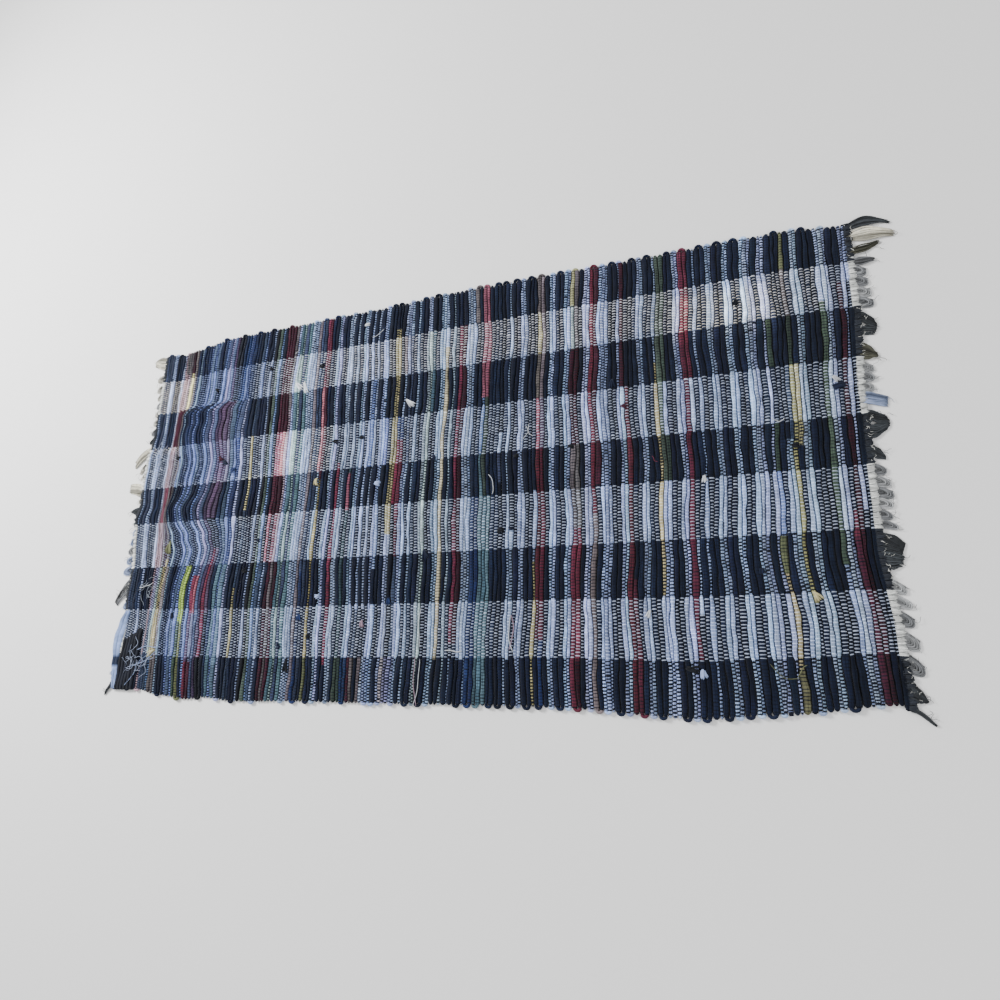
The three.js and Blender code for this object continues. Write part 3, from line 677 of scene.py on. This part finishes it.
def cotton(name, folds, fold_shade_depth, fold_height, fuzz_height, roughness, sheen):
    """Cotton with folds along its strand, with a painted highlight on their ridges and painted
    shade in their hollows, faded patches, and fuzz.

    folds holds how fine the folds are around the strand and, per centimetre, along it.
    """
    shades = Shades(name, roughness, sheen)
    fold = shades.noise(shades.strand, (folds[0], folds[1], folds[0]), 3.0)
    patch = shades.noise(shades.place, (130, 130, 130), 3.0)
    fibre = shades.noise(shades.place, (1500, 1500, 1500), 2.0)
    faded = shades.times(shades.ranged(patch, 0.86, 1.14), shades.ranged(fibre, 0.86, 1.14))
    # Painted highlight and shade: the colour rises and falls with the folds' bump
    shades.tone(shades.times(shades.ranged(fold, 1 - fold_shade_depth, 1 + fold_shade_depth), faded))
    shades.bumps([(fold, fold_height), (fibre, fuzz_height)])
    return shades.material


rag_cotton = cotton("rag_cotton", (1.5, 0.35), 0.22, 0.0016, 0.0003, 0.93, 0.04)
warp_cotton = cotton("warp_cotton", (1.2, 6.0), 0.12, 0.0005, 0.0002, 0.9, 0.04)
lock_cotton = cotton("lock_cotton", (1.2, 1.2), 0.18, 0.0008, 0.0003, 0.92, 0.06)

# The woven sections

SECTIONS = 10
pairs = turning_pairs()
for number, which in enumerate(np.array_split(np.arange(wefts), SECTIONS)):
    weave = Heap(number)
    # Painted shade: each rag is darkened in its crease and down its shoulders, where it meets the
    # next
    tone = colour[which][:, :, None, :] * CORNER_PAINTED_SHADE[None, None, :, None]
    weave.add(weft_rings(which), tone, band=(0.04, 0.96), columns=len(which))
    kept = pairs[(pairs >= which[0]) & (pairs <= which[-1])]
    for near, band in ((False, (0.0, 0.03)), (True, (0.97, 1.0))):
        lane = WARPS if near else 0
        tone = np.repeat(colour[kept, lane][:, None, :], TURN_STATIONS, 1)
        weave.add(turn_rings(kept, kept + 1, near), tone, band=band, columns=len(kept))
    weave.piece(f"weave_{number + 1}", rag_cotton)
    ticks = Heap(number)
    ticks.add(*tick_rings(which), closed=False)
    warp = ticks.piece(f"warp_{number + 1}", warp_cotton)
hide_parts("rug_body")


# Fringe


def end_at(side, level):
    flat = 0 if side < 0 else LENGTH
    return flat + shift_at(np.asarray(flat, float), np.asarray(level, float))


def strand(path, thick, corners=4, thin_from=0.4):
    """Rings of a thread along a path of points, with its ends drawn thin."""
    step = np.gradient(path, axis=0)
    step = step / np.maximum(np.linalg.norm(step, axis=1, keepdims=True), 1e-6)
    cross = np.cross(step, [0, 0, 1.0])
    cross = cross / np.maximum(np.linalg.norm(cross, axis=1, keepdims=True), 1e-6)
    up = np.cross(cross, step)
    around = np.arange(corners) / corners * 2 * np.pi
    size = np.full(len(path), thick)
    size[[0, -1]] = thick * thin_from
    ring = cross[:, None, :] * np.cos(around)[:, None] + up[:, None, :] * np.sin(around)[:, None]
    return path[:, None, :] + ring * size[:, None, None]


def band_of(path, width, height, corners=8):
    """Rings of a flat band along a path of points: widths and heights are one a point."""
    step = np.gradient(path[:, :2], axis=0)
    step = step / np.linalg.norm(step, axis=1, keepdims=True)
    cross = np.stack([-step[:, 1], step[:, 0], 0 * step[:, 0]], -1)
    around = (np.arange(corners) + 0.5) / corners * 2 * np.pi
    out = np.sign(np.cos(around)) * np.abs(np.cos(around)) ** 0.6
    rings = path[:, None, :] + cross[:, None, :] * (width[:, None] / 2 * out)[:, :, None]
    rings[:, :, 2] -= height[:, None] / 2 * np.sin(around)
    return rings


YARN, YARN_STATIONS = 2.5, 12
# How light the yarns of a looped lock are painted, from the outer one inwards: painted light and
# shade in rings, darkest in the hollow
LOOP_PAINTED_SHADE = (1.2, 0.75, 1.15, 0.6, 0.4)


def lock_middle(lock, u):
    ends = lock.root * (1 - u) * (1 - 2 * u) + lock.tip * u * (2 * u - 1)
    return ends + lock.middle * 4 * u * (1 - u)


def lock_width(lock, u):
    first = lock.root_width + (lock.belly_width - lock.root_width) * ease(u / BELLY_AT)
    then = (lock.tip_width - lock.belly_width) * ease((u - BELLY_AT) / (1 - BELLY_AT))
    return first + then * (u > BELLY_AT)


def end_path(side, out, over, z):
    """Points beyond one end of the weave, by how far out, across and up they are."""
    return np.stack([end_at(side, over) + side * out, over, z], -1)


def looped_yarns(side, lock):
    """The yarns of a short lock, which go out and back in loops within one another.

    Gives how light each one is painted, as painted light and shade, and its path.
    """
    turn = np.linspace(0, np.pi, YARN_STATIONS)
    leaning = dice.normal() * 0.12
    for number, light in enumerate(LOOP_PAINTED_SHADE):
        share = 1 - 0.17 * number
        far = lock.reach * (0.3 + 0.7 * share) * (1 - 0.04 * dice.rand())
        out = -2 + (far + 2) * np.sin(turn) ** 0.75
        u = np.clip(out / lock.reach, 0, 1)
        aside = -np.sign(np.cos(turn)) * np.abs(np.cos(turn)) ** 0.75 * share
        over = lock_middle(lock, u) + (aside + leaning * u) * (lock.belly_width + 1) / 2
        z = 1.9 + (0.8 * number + 0.5 * dice.normal()) * ease(2 * np.sin(turn) - 0.4)
        light = light * np.exp(dice.normal() * 0.12)
        yield light, end_path(side, out, over, np.maximum(z, 1.4))


def beside_eyelet(offset, u, wide, reach, eyelet):
    """Where a yarn runs across its lock, led around the eyelet."""
    at, off, radius = eyelet
    gone = np.clip(1 - ((u - at) * reach / (radius * 1.4)) ** 2, 0, 1)
    hole = off * wide / 2
    away = np.where(offset - hole < 0, -1, 1)
    room = (radius + YARN / 2) * np.sqrt(gone)
    return hole + away * np.maximum(np.abs(offset - hole), room)


def lock_yarns(side, lock, eyelet):
    """The yarns of a lock, side by side and around its eyelet: how light they are, with painted
    shade along the lock's hollow, and paths.
    """
    widest = max(lock.root_width, lock.belly_width, lock.tip_width)
    count = max(4, round(widest / YARN))
    u = np.linspace(0, 1, YARN_STATIONS)
    wide = lock_width(lock, u) + (-1 if lock.cotton == "d" else 1.5)
    curl = dice.normal() * 0.5
    # A lock is rolled up, and its yarns are painted darker along its hollow, as painted shade
    shaded_hollow = dice.rand() * 1.2 - 0.6
    blunt = 0.17 if widest > 30 else 0.1 * lock.tip_width / lock.belly_width
    for layer in range(2 if eyelet else 1):
        for number in range(count):
            aside = (number + 0.5 + 0.3 * dice.normal()) / count * 2 - 1
            aside = min(max(aside, -0.98), 0.98)
            offset = aside * wide / 2 + 0.6 * np.sin(u * 7 + 6 * dice.rand())
            if eyelet:
                offset = beside_eyelet(offset, u, wide, lock.reach, eyelet)
            fall = 1 - blunt * aside**2 - 0.05 * dice.rand()
            out = -2 + (lock.reach * fall + 2) * u
            puff = np.interp(u, [0, 0.12, 0.45, 0.85, 1], [3.2, 3.4, 5.2, 3.6, 1.4])
            puff = puff * (1 - 0.4 * aside**2) + curl * np.sin(2 * np.pi * u) - 1.5 * layer
            z = np.maximum(puff + 0.5 * dice.normal() * ease(3 * u), YARN / 2 + 0.1)
            light = np.exp(dice.normal() * 0.15)
            # Painted shade: yarns near the hollow are darkened
            light = light * (1.15 - 0.75 * np.exp(-(((aside - shaded_hollow) * 2.2) ** 2)))
            yield light, end_path(side, out, lock_middle(lock, u) + offset, z)


CORE_STATIONS = 9


def lock_core(side, lock):
    """The cotton inside a lock, a little under its yarns, painted dark as the shade beneath them.
    """
    u = np.linspace(0, 0.93, CORE_STATIONS)
    height = np.interp(u, [0, 0.45, 1], [3.0, 4.4, 1.6])
    path = end_path(side, -1 + (lock.reach + 1) * u, lock_middle(lock, u), height / 2 + 0.1)
    return band_of(path, np.maximum(lock_width(lock, u) - 2, 1.5), height)


def is_dark(level):
    return light_warp(level, 0.01) < 0.5


# Where the heading begins and ends across, by side, and its width
HEADING_SPAN = {-1: (8, 794), 1: (3, 800)}
HEADING_POINTS, HEADING_WIDTH = 200, 8.8


def heading(heap, side):
    """The dense strip where the warp ends leave the weave and gather."""
    over = np.linspace(*HEADING_SPAN[side], HEADING_POINTS)
    out = 4.6 + 0.5 * np.sin(over / 3.1) + 0.4 * np.sin(over / 1.3)
    height = 4.4 + 0.4 * np.sin(over / 2.3)
    path = end_path(side, out, over, height / 2)
    rings = band_of(path, np.full(HEADING_POINTS, HEADING_WIDTH), height)
    tone = np.where(is_dark(over)[:, None], linear((34, 38, 46)), linear((178, 181, 180)))
    tone = tone * np.exp(rough_line(1, HEADING_POINTS, 90, 0.12))[0][:, None]
    if side > 0:
        rings = rings[:, ::-1]
    heap.add(rings[None], tone[None], band=(0.0, 0.04))


CURL_STATIONS = 11


def curls(places, spread, reach, thick):
    """Curly loose threads around places of along, across, height and the way they point."""
    rings = []
    for along, over, z, turn in places:
        u = np.linspace(0, 1, CURL_STATIONS)
        turn = turn + dice.normal() * 0.6
        length = reach * (0.6 + 0.8 * dice.rand())
        bend = dice.normal() * 1.4 * u + 0.5 * np.sin(u * (5 + 7 * dice.rand()) + 6 * dice.rand())
        angle = turn + bend
        step = length / (CURL_STATIONS - 1)
        x = along + spread * dice.normal() + np.cumsum(np.cos(angle)) * step
        y = over + spread * dice.normal() + np.cumsum(np.sin(angle)) * step
        high = z + 1.2 * np.sin(np.pi * u) * dice.rand()
        rings.append(strand(np.stack([x, y, high], -1), thick, 3))
    return np.stack(rings)


def tinted(shade, count, stations):
    """One colour a tube, each a little lighter or darker."""
    tone = linear(shade) * np.exp(dice.normal(size=(count, 1)) * 0.2)
    return np.repeat(tone[:, None, :], stations, 1)


def lock_pieces(heap, side, locks, eyelets):
    cores, core_shadow_tones, yarns, yarn_tones = [], [], [], []
    for number, lock in enumerate(locks):
        shade = linear(COTTONS[lock.cotton]) * np.exp(dice.normal() * 0.1)
        eyelet = eyelets.get(number)
        if not eyelet:
            core = lock_core(side, lock)
            cores.append(core if side < 0 else core[:, ::-1])
            # Painted shade: the core is darkened to stand in for the shadow under the yarns
            core_shadow_tones.append(np.repeat((shade * 0.45)[None, :], CORE_STATIONS, 0))
        looped = lock.cotton in LOOPED_COTTONS and lock.reach < LOOPED_REACH
        paths = looped_yarns(side, lock) if looped else lock_yarns(side, lock, eyelet)
        for light, path in paths:
            yarns.append(strand(path, YARN / 2 + 0.15 * looped, 5, 0.55))
            # Each yarn is darker towards its root and towards its tip
            end_darkening = np.interp(np.linspace(0, 1, YARN_STATIONS), [0, 0.2, 0.8, 1], [0.7, 1, 1, 0.6])
            yarn_tones.append(shade * light * end_darkening[:, None])
    heap.add(np.stack(cores), np.stack(core_shadow_tones), band=(0.05, 0.2), columns=8)
    heap.add(np.stack(yarns), np.stack(yarn_tones), band=(0.21, 0.6))


BUNDLE = 10.5


def warp_ends(heap, side):
    """The warp ends that pass from the weave into the heading, where they gather in bundles."""
    rings, tones = [], []
    u = np.linspace(0, 1, 4)
    for lane in range(1, WARPS):
        level = across[0 if side < 0 else -1, lane]
        bundle = round(level / BUNDLE) * BUNDLE
        over = level + 0.5 * (bundle - level) * ease(u)
        out = -3 + (10.5 + 3 * dice.rand()) * u
        z = 5.5 - 0.9 * ease(u) - 1.2 * u**4 + dice.rand() * 0.5
        rings.append(strand(end_path(side, out, over, z), 1.4, 4, 0.8))
        shade = (40, 44, 52) if is_dark(lane_level[lane]) else (206, 208, 206)
        tones.append(tinted(shade, 1, len(u))[0])
    heap.add(np.stack(rings), np.stack(tones), band=(0.61, 0.75))


def fluff(heap, side, locks):
    """Loose threads that curl out of the locks, and pale lint along the heading."""
    places = []
    for lock in locks:
        for _ in range(3):
            at = 0.55 + 0.4 * dice.rand()
            over = lock_middle(lock, at) + (dice.rand() - 0.5) * lock.belly_width * 0.8
            along = float(end_at(side, over)) + side * lock.reach * at
            places.append((along, over, 2.5, 0 if side > 0 else np.pi))
    shades = [COTTONS[lock.cotton] for lock in locks for _ in range(3)]
    tones = np.concatenate([tinted(shade, 1, CURL_STATIONS) for shade in shades])
    heap.add(curls(places, 0.5, 12, 0.35), tones, band=(0.76, 0.86))
    places = []
    for level in np.linspace(16, 790, 150):
        if is_dark(level) and side > 0 or 420 < level < 620 and side < 0:
            along = float(end_at(side, level)) + side * (5 + 7 * dice.rand())
            places.append((along, level, 5.6, 6 * dice.rand()))
    rings = curls(places, 1.5, 6, 0.35)
    heap.add(rings, tinted((205, 205, 200), len(places), CURL_STATIONS), band=(0.87, 0.93))


def fringe(side, locks, eyelets, name, node, extra=None):
    heap = Heap(40)
    heading(heap, side)
    lock_pieces(heap, side, locks, eyelets)
    warp_ends(heap, side)
    fluff(heap, side, locks)
    if extra:
        extra(heap)
    thing = heap.piece(name, lock_cotton)
    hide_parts(node)


# Loose threads over the left end: where they start, how high, how many, the way they point,
# their length, thickness and shade, and their band in the map
WISPS = rows_of("left right far near top number turn reach thick red green blue low high", """
    26 86 715 765 10.5 22 -0.6 30 0.5 150 160 184 0.966 0.97
    16 50 250 330 8.9 30 -1.2 18 0.45 190 200 222 0.975 0.985
    30 74 560 600 8.9 10 0.3 24 0.45 150 158 170 0.986 0.99
""")
# The torn corner: where its blue edge rag runs, where that is worn through, and how wide each of
# the black rags beside it is
TORN_FROM, TORN_TO = 630, 798
WORN_AT, WORN_REACH = 738, 9
BARE_RAGS, BARE_WIDTH, BARE_PITCH = 6, 9.6, 8.6


def between(start, stop):
    return start + (stop - start) * dice.rand()


def torn_edge(heap):
    """At the left end's near corner: a blue rag along the edge, beside black rags laid bare."""
    over = np.linspace(TORN_FROM, TORN_TO, 24)
    along = np.interp(over, [630, 655, 700, 745, 798], [14, 6, -3, 0, 6]) + 0.8 * np.sin(over / 5)
    width = np.interp(over, [630, 655, 680, 740, 798], [12, 22, 25, 17, 12])
    worn = np.abs(over - WORN_AT) < WORN_REACH
    shade = np.where(worn[:, None], linear((30, 40, 62)), linear((126, 146, 190)))
    for aside in (-0.26, 0.26):
        path = np.stack([along + aside * width, over, 5.2 + 0.5 * np.sin(over / 9 + aside)], -1)
        tone = shade[None] * np.exp(rough_line(1, 24, 12, 0.2))[0][:, None]
        heap.add(band_of(path, width * 0.6, np.full(24, 5.6))[None], tone, band=(0.94, 0.955))
    for rag in range(BARE_RAGS):
        start = 686 - 4 * rag + 6 * dice.rand()
        over = np.linspace(start, 800, 20)
        along = 19 + BARE_PITCH * rag + 1.2 * np.sin(over / 11 + rag) - 0.06 * (over - 700)
        path = np.stack([along, over, np.full(20, 6.4 + 0.8 * dice.rand())], -1)
        path[[0, -1], 2] -= 2
        tone = linear((13, 17, 28)) * np.exp(rough_line(1, 20, 8, 0.25))[0][:, None]
        rings = band_of(path, np.full(20, BARE_WIDTH), np.full(20, 6.0))
        heap.add(rings[None], tone[None], band=(0.955, 0.965))
    for wisp in WISPS:
        places = []
        for _ in range(int(wisp.number)):
            along, over = between(wisp.left, wisp.right), between(wisp.far, wisp.near)
            places.append((along, over, wisp.top, wisp.turn))
        rings = curls(places, 4, wisp.reach, wisp.thick)
        tones = tinted((wisp.red, wisp.green, wisp.blue), len(places), CURL_STATIONS)
        heap.add(rings, tones, band=(wisp.low, wisp.high))


fringe(-1, LEFT_LOCKS, LEFT_EYELETS, "fringe_locks_left", "fringe_left", torn_edge)
fringe(1, RIGHT_LOCKS, RIGHT_EYELETS, "fringe_locks_right", "fringe_right")

# Ends of rags and loose threads on top of the weave

RAG_END_TUFTS, RAG_END_STATIONS = 4, 7
THREAD_STATIONS = 14


def rag_ends(heap):
    rings, tones = [], []
    u = np.linspace(0, 1, RAG_END_STATIONS)
    for end in RAG_ENDS:
        top = 7.6 + float(lift_at(end.along, end.across))
        for number in range(RAG_END_TUFTS):
            aside = (number - 1.5) / RAG_END_TUFTS
            angle = math.radians(end.turn) + 0.5 * aside + 0.15 * dice.normal()
            reach = end.length * (0.85 + 0.3 * dice.rand())
            sway = aside * end.width * (0.6 + 0.5 * u) + 0.8 * np.sin(4 * u + 6 * dice.rand())
            x = end.along + np.cos(angle) * reach * (u - 0.5) - np.sin(angle) * sway
            y = end.across + np.sin(angle) * reach * (u - 0.5) + np.cos(angle) * sway
            z = top - 2.4 + 3.4 * np.sin(np.pi * (0.12 + 0.8 * u)) + 0.5 * dice.normal()
            rings.append(strand(np.stack([x, y, z], -1), end.width / 5.5, 6, 0.45))
            tones.append(tinted(CLOTHS[end.cloth], 1, RAG_END_STATIONS)[0])
    heap.add(np.stack(rings), np.stack(tones), band=(0.0, 0.6))


def loose_threads(heap):
    rings, tones = [], []
    u = np.linspace(0, 1, THREAD_STATIONS)
    for thread in THREADS:
        bend = thread.bow * np.sin(np.pi * u) + 0.8 * np.sin(9 * u + 6 * dice.rand())
        run, rise = thread.to_along - thread.along, thread.to_across - thread.across
        size = math.hypot(run, rise)
        x = thread.along + run * u - rise / size * bend
        y = thread.across + rise * u + run / size * bend
        z = 8.9 + lift_at(x, y) + 0.4 * np.sin(7 * u)
        rings.append(strand(np.stack([x, y, z], -1), thread.thick, 4))
        tones.append(tinted(CLOTHS[thread.cloth], 1, THREAD_STATIONS)[0])
    heap.add(np.stack(rings), np.stack(tones), band=(0.62, 0.9))


on_weave = Heap(60)
rag_ends(on_weave)
loose_threads(on_weave)
on_weave.piece("rag_ends", lock_cotton)

# Stage, light and camera


def floor():
    bpy.ops.mesh.primitive_plane_add(size=14, location=(0, 0, -0.0004))
    plane = bpy.context.object
    plane.name = "floor"
    material = bpy.data.materials.new("floor_paint")
    material.use_nodes = True
    shader = material.node_tree.nodes["Principled BSDF"]
    shader.inputs["Base Color"].default_value = (0.88, 0.88, 0.88, 1)
    shader.inputs["Roughness"].default_value = 0.9
    plane.data.materials.append(material)


def area_light(name, place, size, power):
    lamp = bpy.data.lights.new(name, "AREA")
    lamp.shape = "DISK"
    lamp.size = size
    lamp.energy = power
    thing = bpy.data.objects.new(name, lamp)
    thing.location = place
    thing.rotation_euler = (-Vector(place)).to_track_quat("-Z", "Y").to_euler()
    bpy.context.scene.collection.objects.link(thing)


def lights():
    area_light("key", (-2.0, 1.0, 1.7), 0.9, 120)
    area_light("fill", (2.2, -1.8, 2.6), 2.6, 40)
    world = bpy.data.worlds.new("studio")
    world.use_nodes = True
    background = world.node_tree.nodes["Background"]
    background.inputs["Color"].default_value = (1, 1, 1, 1)
    background.inputs["Strength"].default_value = 0.8
    bpy.context.scene.world = world


# The camera stands over the near right corner and is tilted to its left
EYE = Vector((0.5767, -0.3743, 1.1612))
LOOK = Vector((-0.3502, 0.2630, -0.8990))
PICTURE_RIGHT = Vector((0.9337, 0.0210, -0.3576))
FOCAL_PIXELS, PICTURE_PIXELS = 692, 1000


def camera():
    lens = bpy.data.cameras.new("camera")
    lens.sensor_width = 36
    lens.lens = 36 * FOCAL_PIXELS / PICTURE_PIXELS
    thing = bpy.data.objects.new("camera", lens)
    back = -LOOK.normalized()
    up = back.cross(PICTURE_RIGHT).normalized()
    right = up.cross(back)
    turned = Matrix((right, up, back)).transposed()
    thing.matrix_world = Matrix.Translation(EYE) @ turned.to_4x4()
    bpy.context.scene.collection.objects.link(thing)
    bpy.context.scene.camera = thing


floor()
lights()
camera()
